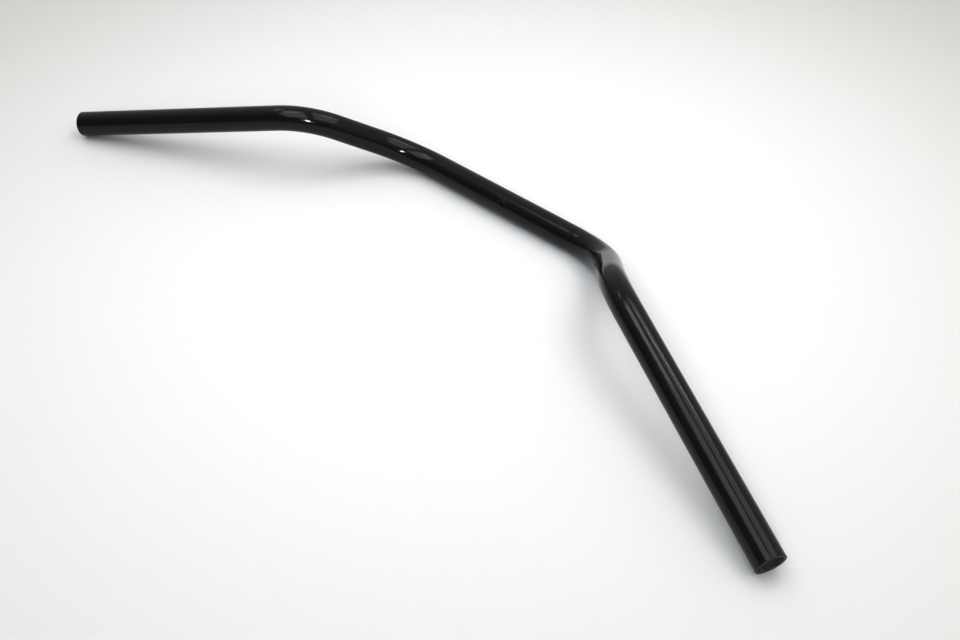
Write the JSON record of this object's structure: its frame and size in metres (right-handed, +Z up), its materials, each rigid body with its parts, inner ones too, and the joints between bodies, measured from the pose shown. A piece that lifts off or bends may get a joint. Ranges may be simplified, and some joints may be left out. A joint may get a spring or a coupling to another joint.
{
  "type": "motorcycle handlebar",
  "caption": "One-piece bent round steel tube handlebar in gloss black, with raised, swept-back grips, open ends and a small round hole in the clamp section.",
  "frame": {"origin": "on the tube's axis, in the middle of the clamp section", "axes": "+X along the clamp section to the rider's right, +Y ahead of the rider, +Z up from the surface that the bar lies on"},
  "size_m": [0.7474, 0.1954, 0.065],
  "materials": {
    "tube_finish": "gloss black coating on steel tube"
  },
  "bodies": {
    "root": {"handlebar_tube": "tube_finish"}
  },
  "joints": []
}
